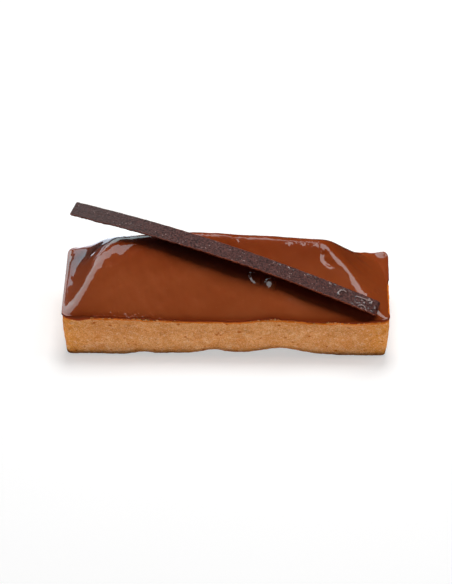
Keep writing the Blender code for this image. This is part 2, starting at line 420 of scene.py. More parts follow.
def mound_height(x, y):
    """Height of the mound above the rim."""
    half_x = CASE_LENGTH / 2 - LIP_INSET
    half_y = CASE_DEPTH / 2 - LIP_INSET
    from_front = np.maximum(half_y + y, 0)
    from_back = np.maximum(half_y - y, 0)
    front = FRONT_SLOPE * from_front + FRONT_FOOT * (1 - np.exp(-from_front / FRONT_FOOT_WIDTH))
    back = BACK_SLOPE * from_back - BACK_CURVE * from_back ** 2
    back = back - across(y) ** 2 * swell(x, 34 * MM, 14 * MM, 1.5 * MM)
    left = left_slope(np.maximum(half_x + x, 0), y)
    right = right_slope(np.maximum(half_x - x, 0), x, y)
    roof = soft_minimum([front, back], RIDGE_ROUND)
    body = soft_minimum([roof, left], LEFT_HIP_ROUND + LEFT_HIP_SPREAD * step(roof, 9.0 * MM, 14.5 * MM))
    height = soft_minimum([body, right], RIGHT_HIP_ROUND)
    crest = swell(x, -14 * MM, 17 * MM, 1.8 * MM) * swell(y, 10 * MM, 6 * MM)
    return np.maximum(height, 0) + crest


print("ridge", round(mound_height(0.0, 9 * MM) / MM, 1), "mm above the rim")

# %% [markdown]
# ## The glaze's skin
# A mirror glaze sets with slow ripples, small bubbles and, where it was touched, low steps with one sharp
# side.  On such a finish this relief shows only where it bends and breaks the bright lines.  A bump pattern
# could stand for it, but real height, from a few hundredths of a millimetre to one, reflects more cleanly.

# %% Ripples, bubbles and touched places
TOUCHED_PLACES = (  # centre in mm, turn and spread in degrees, radius, width and depth in mm, softness
    ((12.6, -5.2), 222, 50, 4.1, 1.2, 0.55, 0.9),      # a raised crescent beside the stick
    ((18.2, -7.4), 224, 48, 3.4, 3.0, 1.05, 0.7),      # a raised wedge next to it
    ((38.6, 1.8), 208, 95, 3.6, 1.8, -0.42, 0.5),      # a sunk open ring by the right hip
)


def scallop(x, y, centre, turn, spread, radius, width, depth, soft):
    """A low step with one curved wall, in mm: depth times wall times floor times window.

    The wall falls from 1 to 0 across width at radius, the floor rises from 0 at the centre to 1 at the wall,
    and the window keeps the directions within spread degrees of turn, its sides softened by soft.
    """
    across_x, across_y = x / MM - centre[0], y / MM - centre[1]
    away = np.hypot(across_x, across_y)
    off = np.abs((np.degrees(np.arctan2(across_y, across_x)) - turn + 180) % 360 - 180)
    wall = 1 - step(away, radius - width / 2, radius + width / 2)
    floor = np.clip(away / (radius - width / 2), 0, 1)
    return depth * wall * floor * step(-off, -spread, -soft * spread)


def ripples(x, y, flat):
    """Waves of 10, 4.2 and 1.8 mm in mm, calmer at the right of the ridge and on the left slope."""
    height = 0.05 * waves(flat, 10 * MM, 21) + 0.030 * waves(flat, 4.2 * MM, 22)
    height = height + 0.006 * waves(flat, 1.8 * MM, 24)
    height = height * (1 - 0.75 * swell(x, 25 * MM, 13 * MM) * swell(y, 7 * MM, 6 * MM))
    return height * (1 - 0.6 * step(-x, 45 * MM, 52 * MM))


def hip_wobble(x, y, flat):
    """Waves of 2.6 mm in mm beside the left hip's line: they make the bright line along it ragged."""
    from_hip = (0.84 * (x / MM + 57.4) - 0.54 * (y / MM + 18.7)) * MM
    return 0.026 * swell(from_hip, 0.0, 2.6 * MM) * step(-x, 41 * MM, 45 * MM) * waves(flat, 2.6 * MM, 26)


def pebbles(x, y, flat):
    """Waves of 1.3 mm in mm, along the right hip and in one patch near the ridge."""
    place = 1.2 * swell(x - 0.95 * y, 62 * MM, 2.4 * MM) * step(x, 43 * MM, 47 * MM)
    place = place + 0.8 * swell(x, 38 * MM, 3 * MM) * swell(y, 2.5 * MM, 3 * MM)
    return 0.035 * place * waves(flat, 1.3 * MM, 23)


def bubbles(x, y, flat):
    """Small bubbles in mm, where 1.1 mm waves run high, beside the ridge and along the front rim."""
    crest = swell(x, -8 * MM, 8 * MM) * swell(y, 6.5 * MM, 3 * MM)
    crest = crest + swell(x, 31 * MM, 9 * MM) * swell(y, 8 * MM, 3 * MM)
    near_rim = swell(x, -33 * MM, 13 * MM) * swell(y, -20.6 * MM, 1.1 * MM)
    return (0.09 * crest + 0.28 * near_rim) * step(waves(flat, 1.1 * MM, 25), 1.1, 1.9)


def glaze_relief(x, y):
    """All the relief of the set glaze, added up, in metres."""
    flat = np.stack([x, y, np.zeros_like(x)], axis=-1)
    relief = ripples(x, y, flat) + hip_wobble(x, y, flat) + pebbles(x, y, flat) + bubbles(x, y, flat)
    return (relief + sum(scallop(x, y, *row) for row in TOUCHED_PLACES)) * MM


def glaze_top(x, y):
    """Height of the glaze above the table."""
    return rim_height(x, y) + GAP + LIP_HEIGHT + mound_height(x, y) + glaze_relief(x, y)


print("ridge", round(glaze_top(np.array(0.0), np.array(9 * MM)) / MM, 1), "mm above the table")

# %% [markdown]
# ## The top of the glaze
# The top is a grid of even cells, because a mirror finish shows every uneven triangle.  Each row is squeezed
# into the round-cornered plan.  The border wanders a little, draws back from the right end, where a sliver
# of crust shows, and stands out as a small curl at the back right corner.

# %% Plan of the glaze's top
GRID_LONG = 470
GRID_DEEP = 165
BORDER_REACH = 1.1 * MM              # how far in a shift of the border is felt
DRAWN_BACK = 0.75 * MM               # at the right end
CURL_RISE = 0.8 * MM


def edge_shift(x, seed):
    """How far the glaze's edge stands out (+) or back (-) from its mean line."""
    line = np.stack([x, np.zeros_like(x), np.zeros_like(x)], axis=-1)
    return (0.10 * waves(line, 9 * MM, seed) + 0.05 * waves(line, 2.5 * MM, seed + 1)) * MM


def top_grid():
    """Plan points of the top: a grid squeezed into the round-cornered outline, with a wandering border."""
    half_x = CASE_LENGTH / 2 - LIP_INSET
    half_y = CASE_DEPTH / 2 - LIP_INSET
    radius = CORNER_RADIUS - LIP_INSET
    y = np.linspace(-half_y, half_y, GRID_DEEP)[:, None]
    into_corner = np.maximum(np.abs(y) - (half_y - radius), 0)
    reach = half_x - radius + np.sqrt(np.maximum(radius ** 2 - into_corner ** 2, 0))
    x = reach * np.linspace(-1, 1, GRID_LONG)[None, :]
    y = np.broadcast_to(y, x.shape)
    front = np.exp(-(half_y + y) / BORDER_REACH)
    back = np.exp(-(half_y - y) / BORDER_REACH)
    left = np.exp(-(reach + x) / BORDER_REACH)
    right = np.exp(-(reach - x) / BORDER_REACH)
    curl = swell(x, 58.8 * MM, 2.2 * MM) * swell(y, 20.6 * MM, 2.2 * MM)
    new_y = y - front * edge_shift(x, 31) + back * (edge_shift(x, 33) + 0.3 * MM * curl)
    short = DRAWN_BACK * (1 - step(y, 1 * MM, 6 * MM)) * step(y, -19 * MM, -15 * MM)
    new_x = x + right * (edge_shift(y, 35) * 0.5 + 0.15 * MM * curl - short) - left * edge_shift(y, 37) * 0.5
    return new_x, new_y, curl


def glaze_surface():
    """The top as a grid of points in space, with the curl at the back right corner lifted."""
    x, y, curl = top_grid()
    return np.stack([x, y, glaze_top(x, y) + CURL_RISE * curl], axis=-1)


print("top of the glaze:", GRID_LONG, "x", GRID_DEEP, "points")

# %% [markdown]
# ## The glaze's rolled edge
# At its border the glaze rolls over in a small bulge and sits on the case's rim, and it runs over the front
# left corner as a low drip.  A Solidify modifier would give an even lip.  Loops of points that follow the
# border let the bulge grow longer where the glaze ran.

# %% Glaze mesh
BULGE = 0.22 * MM
ROLL_STEPS = 8
EDGE_SINK = 0.12 * MM                # the rolled edge ends this far below the rim
BOTTOM_WALL = 8 * MM                 # height of the hidden upright part above the floor
END_LIMIT = 0.4993 * CASE_LENGTH     # keeps the rolled ends inside the case's length


def drip(x, y):
    """Extra length of the rolled edge: a run at the front left corner, and small ones elsewhere."""
    front = step(-y, CASE_DEPTH / 2 - 2 * MM, CASE_DEPTH / 2 - 0.5 * MM)
    run = swell(x, -53.6 * MM, 3.6 * MM, 1.5 * MM) + swell(x, -49.0 * MM, 3.0 * MM, 0.35 * MM)
    small = swell(x, 47 * MM, 4 * MM, 0.35 * MM) + swell(x, -12 * MM, 5 * MM, 0.2 * MM)
    return front * (run + small)


def border(grid):
    """The outer loop of a grid, counter-clockwise."""
    return np.concatenate([grid[0, :-1], grid[:-1, -1], grid[-1, :0:-1], grid[:0:-1, 0]])


def rolled_loops(edge):
    """Loops that lead a half turn out and down from the border, then three that run down inside the case.

    The half turn: out by BULGE sin(turn), down by length (1 - cos(turn)) / 2.
    """
    along = np.roll(edge, -1, axis=0) - np.roll(edge, 1, axis=0)
    out = np.column_stack([along[:, 1], -along[:, 0], np.zeros(len(edge))])
    out /= np.linalg.norm(out, axis=1, keepdims=True)
    length = edge[:, 2] - rim_height(edge[:, 0], edge[:, 1]) + EDGE_SINK + drip(edge[:, 0], edge[:, 1])
    loops = []
    for turn in np.linspace(0, np.pi, ROLL_STEPS + 1)[1:]:
        loop = edge + out * BULGE * np.sin(turn)
        loop[:, 2] = edge[:, 2] - length * (1 - np.cos(turn)) / 2
        loops.append(loop)
    half_plan = np.array([CASE_LENGTH, CASE_DEPTH]) / 2
    shrink = (half_plan - WALL - DRAFT) / half_plan
    inside = edge[:, :2] * (1 + (shrink - 1) * 0.5)
    loops.append(ring(inside, rim_height(*inside.T) + 0.05 * MM))
    loops.append(ring(edge[:, :2] * shrink, FLOOR + BOTTOM_WALL))
    loops.append(ring(edge[:, :2] * shrink, FLOOR + GAP))
    return np.array(loops)


def make_glaze():
    """Join the top and the rolled loops at the grid's border, and close the bottom with one face."""
    top = glaze_surface()
    rolled = rolled_loops(border(top))
    for part in (top, rolled):
        part[..., 0] = np.clip(part[..., 0], -END_LIMIT, END_LIMIT)
    rows, columns = top.shape[:2]
    index = np.arange(rows * columns).reshape(rows, columns)
    count = rolled.shape[1]
    below = rows * columns + np.arange(rolled.shape[0] * count).reshape(-1, count)
    chain = np.vstack([border(index), below])
    chain = np.column_stack([chain, chain[:, 0]])[:, ::-1]
    faces = grid_quads(index).tolist() + grid_quads(chain).tolist() + [below[-1][::-1].tolist()]
    points = np.vstack([top.reshape(-1, 3), rolled.reshape(-1, 3)])
    # mask for the painted shade near the glaze's border
    border_shade = np.concatenate([edge_closeness(top).reshape(-1), np.ones(rolled.shape[0] * count)])
    down = np.arange(1, len(rolled) + 1) / ROLL_STEPS
    roll_share = np.concatenate([np.zeros(rows * columns), np.repeat(step(down, 0.35, 0.9), count)])
    return mesh_object("glazed_mound", points, faces, {"border_shade": border_shade, "roll_share": roll_share})


def edge_closeness(top):
    """1 at the border of the glaze, falling to 0 a few millimetres in."""
    from_side = CASE_DEPTH / 2 - np.abs(top[..., 1])
    from_end = CASE_LENGTH / 2 - np.abs(top[..., 0])
    return np.exp(-np.minimum(from_side, from_end) / (1.6 * MM))


glaze = make_glaze()
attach(glaze, "root")
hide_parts("chocolate_filling")
print("glaze box", np.round(np.array([glaze.bound_box[0], glaze.bound_box[6]]) / MM, 2).tolist())

# %% [markdown]
# ## Crumbs on the rim
# A few crumbs of crust stick where the glaze meets the front rim.  They could be copies of one crumb, but
# real ones all differ.  So each is a small ball squeezed by waves of its own, and all are one mesh.

# %% Crumbs
CRUMBS = 80
CRUMB_PLACES = (-45.5, -33.0, -27.0, 14.0, 33.0, 44.0, 54.0)     # mm along the rim, where they gather
CRUMB_ROWS, CRUMB_COLUMNS = 7, 10


def unit_ball(rows, columns):
    """Points (cos a cos b, cos a sin b, sin a), with a from low to high and b round the ball."""
    lift = np.linspace(-0.46, 0.46, rows)[:, None] * np.pi
    turn = np.linspace(0, 2 * np.pi, columns, endpoint=False)
    return np.stack([np.cos(lift) * np.cos(turn), np.cos(lift) * np.sin(turn),
                     np.broadcast_to(np.sin(lift), (rows, columns))], axis=-1)


def make_crumbs():
    """Lumps along the front rim: each point lies radius times (1 + waves / 4) from its lump's middle."""
    rng = np.random.default_rng(51)
    middles = rng.choice(CRUMB_PLACES, CRUMBS)
    x = np.clip(middles + rng.normal(0, 3.2, CRUMBS), -55, 56) * MM
    y = rng.uniform(-21.10, -20.70, CRUMBS) * MM
    centre = np.stack([x, y, rim_height(x, y) + rng.uniform(-0.40, 0.15, CRUMBS) * MM], axis=1)
    radius = rng.uniform(0.18, 0.40, CRUMBS)[:, None, None, None] * MM
    ball = unit_ball(CRUMB_ROWS, CRUMB_COLUMNS)
    lumps = centre[:, None, None] + ball * radius * [1.3, 1.0, 0.8]
    lumps = lumps + 0.25 * waves(lumps, 0.5 * MM, 52)[..., None] * radius * ball
    size = CRUMB_ROWS * CRUMB_COLUMNS
    index = np.arange(size).reshape(CRUMB_ROWS, CRUMB_COLUMNS)
    quads = grid_quads(np.column_stack([index, index[:, 0]]))
    first = size * np.arange(CRUMBS)[:, None]
    faces = (quads + first[..., None]).reshape(-1, 4).tolist()
    faces += (index[0, ::-1] + first).tolist() + (index[-1] + first).tolist()
    level = np.full(size * CRUMBS, 0.6)
    return mesh_object("rim_crumbs", lumps.reshape(-1, 3), faces, {"wall_level": level})


crumbs = make_crumbs()
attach(crumbs, "root")
print("crumbs:", CRUMBS, "lumps in one mesh")

# %% [markdown]
# ## The stick's section
# The stick is a strip cut from a thin sheet of dark chocolate, and its cut sides lean in below.  A long cube
# could be bent to its line.  A section of shares was chosen instead: reach across and depth down from the
# face, so that width, thickness and lean stay numbers that can be changed.

# %% Stick sizes and section
STICK_RIGHT = np.array([55.1, -18.6]) * MM
STICK_LEFT = np.array([-57.0, 18.1]) * MM
STICK_WIDTH = 7.3 * MM
STICK_THICKNESS = 1.7 * MM
STICK_UNDERCUT = 1.3 * MM            # each side leans in by this much below
STICK_RIGHT_TOP = 21.8 * MM          # height of the face at each end
STICK_LEFT_TOP = 39.0 * MM
STICK_BOW = 3.2 * MM                 # rise of the middle above a straight line
STICK_ROLL = 0.12                    # the face leans to the front, in radians
STICK_LOOPS = 520
FACE_STEPS = 30
SIDE_STEPS = 8
UNDER_STEPS = 13


def stick_section():
    """Reach and depth of each point: reach is a share of the half width, depth is 0 on top and 1 below."""
    face = np.linspace(-1, 1, FACE_STEPS)
    side = np.linspace(0, 1, SIDE_STEPS + 1)[1:]
    under = np.linspace(1, -1, UNDER_STEPS + 1)[1:]
    reach = np.concatenate([face, np.ones(SIDE_STEPS), under, -np.ones(SIDE_STEPS - 1)])
    depth = np.concatenate([np.zeros(FACE_STEPS), side, np.ones(UNDER_STEPS), side[::-1][1:]])
    return reach, depth


print("the stick's section has", len(stick_section()[0]), "points")

# %% [markdown]
# ## Marks on the stick's face
# Near its right end the stick carries a few raised lines where wet chocolate touched it: an open ring, a
# stroke with a hook and an arc.  Tiny wet beads sit along its back edge and near that end.  They could be
# small objects of their own, but they melt into the face, so they are made as height on it.

# %% Marks and beads
RING_AT, RING_RADIUS = 13.2, 1.5     # mm from the right end, and mm
BEAD_WIDTH, THIN_BEAD_WIDTH = 0.38, 0.32
ARC_AT, ARC_RADIUS, ARC_WIDTH = (5.0, -3.0), 1.2, 0.36


def stroke(s, t, from_s, from_t, to_s, to_t, width):
    """1 on a straight stroke between two places on the face, falling off over width."""
    ds, dt = to_s - from_s, to_t - from_t
    share = np.clip(((s - from_s) * ds + (t - from_t) * dt) / (ds * ds + dt * dt), 0, 1)
    away = np.hypot(s - from_s - share * ds, t - from_t - share * dt)
    return np.exp(-(away / width) ** 2)


def face_marks(s, t):
    """Share of a bead's height on the stick's face, s mm from its right end and t mm across.

    Each bead is exp(-(distance from its line / width) squared): an open ring, a stroke with a hook, an arc.
    """
    ring_away = np.hypot(s - RING_AT, t) - RING_RADIUS
    open_ring = np.exp(-(ring_away / BEAD_WIDTH) ** 2) * step(s - RING_AT + 0.7 * t, -0.9, 0.2)
    long_stroke = stroke(s, t, 2.6, 1.75, 8.3, 1.25, BEAD_WIDTH)
    hook = stroke(s, t, 2.6, 1.75, 2.4, 0.8, THIN_BEAD_WIDTH)
    arc_away = np.hypot(s - ARC_AT[0], t - ARC_AT[1]) - ARC_RADIUS
    arc = np.exp(-(arc_away / ARC_WIDTH) ** 2) * step(t, -2.9, -2.3)
    return np.maximum.reduce([open_ring, long_stroke, hook, arc])


def wet_beads(points, s, t):
    """Tiny wet beads where noise runs high: a row by the back edge, and a few near the right end."""
    row = swell(s, 33.0, 8.0) * step(t, 1.9, 2.6) + 0.8 * swell(s, 18.0, 7.0) * step(t, 2.2, 2.9)
    chance = np.clip(row + 0.9 * swell(s, 4.0, 4.0), 0, 1)
    return chance * step(waves(points, 1.5 * MM, 48), 1.0, 1.5)


MARK_TRIAL = face_marks(*np.meshgrid(np.linspace(0, 20, 200), np.linspace(-3.5, 3.5, 70)))
print("marks cover", round(100 * float((MARK_TRIAL > 0.5).mean())), "% of the face's last 20 mm")

# %% [markdown]
# ## The stick
# The stick sagged while it set, so it lies in a shallow bow from the back left to the front right.  Its
# face is satin and its sides are rough where the knife went through.  A curve with a bevel could carry the
# section, but the ragged sides need a width of their own at every loop, so it is swept with arrays here.

# %% Stick mesh
FACE_DROP = 0.08 * MM                # leaves room for the grain under the stick's outline
FRONT_INSET = 0.08 * MM              # and for the ragged sides
BACK_INSET = 0.05 * MM
END_SHARE = 0.90                     # size of the small loop that rounds each end, as a share
END_REACH = 0.12 * MM                # and how far out it stands
MARK_HEIGHT, WET_BEAD_HEIGHT, PIT_DEPTH = 0.46, 0.20, 0.18       # mm


def side_reach(line, s, reach):
    """Distance across from the middle line: reach times a half width made uneven by waves of 1 to 4 mm."""
    half = 0.5 * STICK_WIDTH
    front_waves = 0.05 * waves(line, 3.0 * MM, 41) + 0.045 * waves(line, 1.3 * MM, 42)
    back_waves = 0.7 * (0.05 * waves(line, 4 * MM, 43) + 0.03 * waves(line, 1.2 * MM, 44))
    front_side = half - FRONT_INSET + front_waves[:, None] * MM + swell(s, 107 * MM, 3 * MM, 0.30 * MM)
    back_side = half - BACK_INSET + back_waves[:, None] * MM
    return np.where(reach < 0, front_side, back_side) * reach


def swept_stick(reach, depth):
    """Points of the section carried along the bow, and their share of the length, mm along and mm across.

    The face's height is a straight line between its ends plus 4 bow share (1 - share).
    """
    share = np.linspace(0, 1, STICK_LOOPS)[:, None]
    along = STICK_LEFT - STICK_RIGHT
    span = np.linalg.norm(along)
    along = along / span
    back = np.array([along[1], -along[0]])
    s = share * span
    line = np.concatenate([s, np.zeros_like(s), np.zeros_like(s)], axis=1)
    sideways = side_reach(line, s, reach) - STICK_UNDERCUT * depth * reach
    top = STICK_RIGHT_TOP + (STICK_LEFT_TOP - STICK_RIGHT_TOP) * share + 4 * STICK_BOW * share * (1 - share)
    round_over = (0.16 * np.abs(reach) ** 14 + 0.35 * np.exp(-s / (0.5 * MM))) * MM * (depth == 0)
    z = top - FACE_DROP - depth * STICK_THICKNESS - round_over + sideways * np.sin(STICK_ROLL)
    x = STICK_RIGHT[0] + along[0] * s + back[0] * sideways * np.cos(STICK_ROLL)
    y = STICK_RIGHT[1] + along[1] * s + back[1] * sideways * np.cos(STICK_ROLL)
    return np.stack([x, y, z], axis=-1), share, s / MM, sideways / MM


def make_stick():
    """Sweep the section, then raise marks, beads and grain on its face and sink its pits."""
    reach, depth = stick_section()
    points, share, s, t = swept_stick(reach, depth)
    on_face = (depth == 0) & (np.abs(reach) < 0.999)
    inside = np.clip(4 * (1 - np.abs(reach)), 0, 1)
    marks = face_marks(s, t) * inside
    beads = wet_beads(points, s, t) * inside
    grain = 0.026 * waves(points, 0.9 * MM, 45) + 0.02 * waves(points, 2.6 * MM, 46)
    pits = PIT_DEPTH * step(-waves(points, 1.4 * MM, 47), 1.2, 1.9)
    relief = MARK_HEIGHT * marks + WET_BEAD_HEIGHT * beads + grain - pits
    points[..., 2] += np.where(on_face, relief, 0.35 * grain) * MM
    # mask of the sides and rims, where painted edge light goes
    rim = np.where(depth > 0, 1.0, np.where(reach < 0, -reach, reach - 0.04))
    # wet_glint_share: where the clear coat is turned up and paler glints are painted
    shares = {"edge_light_share": np.broadcast_to(rim, t.shape), "length_share": np.broadcast_to(share, t.shape),
              "wet_glint_share": np.clip(marks + beads, 0, 1) * on_face}
    return close_stick(points, shares)


def close_stick(points, shares):
    """Add a slightly smaller loop at each end, so that the ends are rounded, and close them."""
    ends = []
    for loop, inner in ((points[0], points[1]), (points[-1], points[-2])):
        centre = loop.mean(axis=0)
        outward = (loop - inner).mean(axis=0)
        outward /= np.linalg.norm(outward)
        ends.append(centre + (loop - centre) * END_SHARE + outward * END_REACH)
    whole = np.concatenate([ends[0][None], points, ends[1][None]])
    shares = {name: np.concatenate([part[:1], part, part[-1:]]) for name, part in shares.items()}
    return skin("dark_stick", whole, caps=(True, True), attributes=shares)


stick = make_stick()
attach(stick, "root")
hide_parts("chocolate_stick")
print("stick box", np.round(np.array([stick.bound_box[0], stick.bound_box[6]]) / MM, 2).tolist())

# %% [markdown]
# ## Finishes
# Each finish is a node tree on Object coordinates, so its patterns have real sizes: a noise scale of 500
# gives blotches of about 2 mm.  Painted images could be used too, but noise has no seams and no fixed
# sharpness.  Small helpers keep the trees short.

# %% Node helpers


class Finish:
    """A material with a Principled shader and short ways to add nodes to it."""

    def __init__(self, name, roughness, ior=1.5):
        self.material = bpy.data.materials.new(name)
        self.material.use_nodes = True
        self.tree = self.material.node_tree
        self.shader = self.tree.nodes["Principled BSDF"]
        self.shader.inputs["Roughness"].default_value = roughness
        self.shader.inputs["IOR"].default_value = ior
        self.place = self.tree.nodes.new("ShaderNodeTexCoord").outputs["Object"]

    def link(self, output, socket):
        """Join an output to an input."""
        self.tree.links.new(output, socket)

    def axis(self, name):
        """One coordinate of the place, in metres: X, Y or Z."""
        node = self.tree.nodes.new("ShaderNodeSeparateXYZ")
        self.link(self.place, node.inputs[0])
        return node.outputs[name]

    def flattened(self, share):
        """Coordinates squeezed along x and y, so that a pattern on them comes out long and low."""
        node = self.tree.nodes.new("ShaderNodeMapping")
        node.inputs["Scale"].default_value = (share, share, 1.0)
        self.link(self.place, node.inputs["Vector"])
        return node.outputs["Vector"]

    def noise(self, scale, detail=2.0, roughness=0.5, place=None):
        """Noise around 0.5 with blotches of about 1 / scale metres."""
        node = self.tree.nodes.new("ShaderNodeTexNoise")
        node.inputs["Scale"].default_value = scale
        node.inputs["Detail"].default_value = detail
        node.inputs["Roughness"].default_value = roughness
        self.link(place or self.place, node.inputs["Vector"])
        return node.outputs["Fac"]

    def cells(self, scale, randomness=1.0, place=None):
        """Distance to the nearest of scattered points, 1 / scale metres apart."""
        node = self.tree.nodes.new("ShaderNodeTexVoronoi")
        node.inputs["Scale"].default_value = scale
        node.inputs["Randomness"].default_value = randomness
        self.link(place or self.place, node.inputs["Vector"])
        return node.outputs["Distance"]

    def attribute(self, name):
        """A number stored on the piece's points."""
        node = self.tree.nodes.new("ShaderNodeAttribute")
        node.attribute_name = name
        return node.outputs["Fac"]

    def span(self, value, low, high, to_low=0.0, to_high=1.0):
        """Map low..high to to_low..to_high with a soft start and end."""
        node = self.tree.nodes.new("ShaderNodeMapRange")
        node.interpolation_type = "SMOOTHSTEP"
        self.link(value, node.inputs["Value"])
        for name, number in (("From Min", low), ("From Max", high), ("To Min", to_low), ("To Max", to_high)):
            node.inputs[name].default_value = number
        return node.outputs["Result"]

    def maths(self, kind, first, second):
        """One sum of two values, either of which may be a plain number."""
        node = self.tree.nodes.new("ShaderNodeMath")
        node.operation = kind
        for socket, value in zip(node.inputs, (first, second)):
            if isinstance(value, (int, float)):
                socket.default_value = value
            else:
                self.link(value, socket)
        return node.outputs["Value"]

    def mix(self, share, first, second):
        """Colour first where share is 0 and second where it is 1."""
        node = self.tree.nodes.new("ShaderNodeMix")
        node.data_type = "RGBA"
        if isinstance(share, (int, float)):
            node.inputs[0].default_value = share
        else:
            self.link(share, node.inputs[0])
        for socket, value in ((node.inputs[6], first), (node.inputs[7], second)):
            if isinstance(value, tuple):
                socket.default_value = (*value, 1.0)
            else:
                self.link(value, socket)
        return node.outputs[2]

    def bump(self, height, distance, strength=1.0, under=None):
        """Small relief from a height, distance metres deep."""
        node = self.tree.nodes.new("ShaderNodeBump")
        node.inputs["Distance"].default_value = distance
        node.inputs["Strength"].default_value = strength
        self.link(height, node.inputs["Height"])
        if under is not None:
            self.link(under, node.inputs["Normal"])
        return node.outputs["Normal"]

    def put(self, name, value):
        """Set or link one of the shader's inputs."""
        socket = self.shader.inputs[name]
        if isinstance(value, (int, float, tuple)):
            socket.default_value = value
        else:
            self.link(value, socket)


def from_screen(red, green, blue):
    """A colour as seen on a screen, 0 to 255, as the linear light that Blender mixes."""
    share = np.array([red, green, blue]) / 255
    return tuple(np.where(share <= 0.04045, share / 12.92, ((share + 0.055) / 1.055) ** 2.4).tolist())


print("screen grey 128 is", round(from_screen(128, 128, 128)[0], 3), "of full light")

# %% [markdown]
# ## Baked shortcrust
# The crumb is a warm sandy tan, paler in the middle of the long sides, with fine flecks of toasted flour.
# The ends are painted more golden for the brighter light that falls on them.  Just under the glaze it is
# orange with soaked-in glaze, and the foot is painted browner for the shade where it meets the tray.  One
# noise could mottle it; three sizes of it look baked.

# %% Shortcrust finish


def shortcrust():
    """Sandy tan with blotches, pale grain and flecks; an attribute places the soaked rim and the painted
    shade at the foot.
    """
    finish = Finish("baked shortcrust", 0.72, ior=1.4)
    level = finish.attribute("wall_level")
    blotch = finish.noise(130, 3.0, 0.6)
    colour = finish.mix(finish.span(blotch, 0.36, 0.66), from_screen(228, 156, 92), from_screen(218, 140, 70))
    # painted light: the ends are painted more golden for the brighter light that falls on them
    from_middle = finish.maths("ABSOLUTE", finish.axis("X"), 0.0)
    ends = finish.span(from_middle, 0.046, 0.0605, 0.0, 0.85)
    colour = finish.mix(ends, colour, from_screen(226, 140, 36))
    flat = finish.flattened(0.7)
    mottle = finish.noise(680, 4.0, 0.7, place=flat)
    colour = finish.mix(finish.span(mottle, 0.50, 0.70, 0.0, 0.6), colour, from_screen(240, 190, 146))
    colour = finish.mix(finish.span(mottle, 0.30, 0.47, 0.75, 0.0), colour, from_screen(196, 108, 26))
    grain = finish.noise(2300, 3.0, 0.7)
    colour = finish.mix(finish.span(grain, 0.36, 0.50, 0.6, 0.0), colour, from_screen(176, 108, 54))
    colour = finish.mix(finish.span(grain, 0.54, 0.68, 0.0, 0.6), colour, from_screen(246, 204, 168))
    flecks = finish.span(finish.cells(480, place=flat), 0.16, 0.30, 0.9, 0.0)
    some = finish.span(finish.noise(300, 2.0, 0.6), 0.50, 0.60)
    colour = finish.mix(finish.maths("MULTIPLY", flecks, some), colour, from_screen(182, 88, 8))
    # painted shade: the foot is painted browner for the shade where the case meets the tray
    foot = finish.span(level, 0.0, 0.10, 0.5, 0.0)
    colour = finish.mix(foot, colour, from_screen(150, 84, 34))
    rim = finish.span(level, 0.955, 0.99, 0.0, 0.95)
    colour = finish.mix(rim, colour, from_screen(224, 116, 20))
    finish.put("Base Color", colour)
    finish.put("Specular IOR Level", 0.2)
    coarse = finish.bump(finish.noise(900, 5.0, 0.65), 0.00030, 1.0)
    finish.put("Normal", finish.bump(finish.noise(3200, 3.0, 0.6), 0.00010, 0.9, under=coarse))
    finish.put("Subsurface Weight", 0.10)
    finish.put("Subsurface Radius", (1.0, 0.45, 0.2))
    finish.put("Subsurface Scale", 0.0010)
    return finish.material


case.data.materials.append(shortcrust())
crumbs.data.materials.append(case.data.materials[0])
print("finish:", case.data.materials[0].name)

# %% [markdown]
# ## Mirror glaze
# Milk chocolate glaze is an even red-brown with a wet skin.  A single glossy colour would do from far off.
# Here the colour comes from the body of the glaze and the gloss from a clear coat, so that each can be set
# alone.  Painted shade darkens the body towards the ridge, towards the ends and near the border.  Where the
# glaze thins out at the rim the crust shows through, so it turns orange there.

# %% Glaze finish


def mirror_glaze():
    """Even brown under a clear coat, with painted shade towards the ridge, the ends and the border, and faint
    clouds and specks.
    """
    finish = Finish("chocolate mirror glaze", 0.40, ior=1.45)
    cloud = finish.span(finish.noise(60, 3.0, 0.55), 0.3, 0.7)
    colour = finish.mix(cloud, from_screen(146, 67, 28), from_screen(152, 73, 34))
    # painted shade: the glaze is painted darker from the middle of the front slope back to the ridge
    ridge_shade = finish.mix(cloud, from_screen(128, 50, 12), from_screen(136, 56, 17))
    colour = finish.mix(finish.span(finish.axis("Y"), -0.010, 0.007), colour, ridge_shade)
    # painted shade: the glaze is painted darker over the end slopes
    end_shade = finish.span(finish.maths("ABSOLUTE", finish.axis("X"), 0.0), 0.040, 0.055, 0.0, 0.8)
    colour = finish.mix(end_shade, colour, from_screen(136, 59, 22))
    specks = finish.span(finish.cells(420), 0.045, 0.075, 0.35, 0.0)
    colour = finish.mix(specks, colour, from_screen(176, 104, 66))
    # painted shade: the glaze is painted darker near its border, where it curves down to the rim
    edge = finish.attribute("border_shade")
    colour = finish.mix(finish.span(edge, 0.25, 0.95, 0.0, 0.75), colour, from_screen(128, 46, 8))
    colour = finish.mix(finish.attribute("roll_share"), colour, from_screen(168, 66, 6))
    finish.put("Base Color", colour)
    finish.put("Specular IOR Level", 0.06)
    finish.put("Coat Weight", 1.0)
    finish.put("Coat Roughness", 0.03)
    finish.put("Coat IOR", 1.5)
    finish.put("Subsurface Weight", 0.12)
    finish.put("Subsurface Radius", (1.0, 0.35, 0.12))
    finish.put("Subsurface Scale", 0.0012)
    return finish.material


glaze.data.materials.append(mirror_glaze())
print("finish:", glaze.data.materials[0].name)
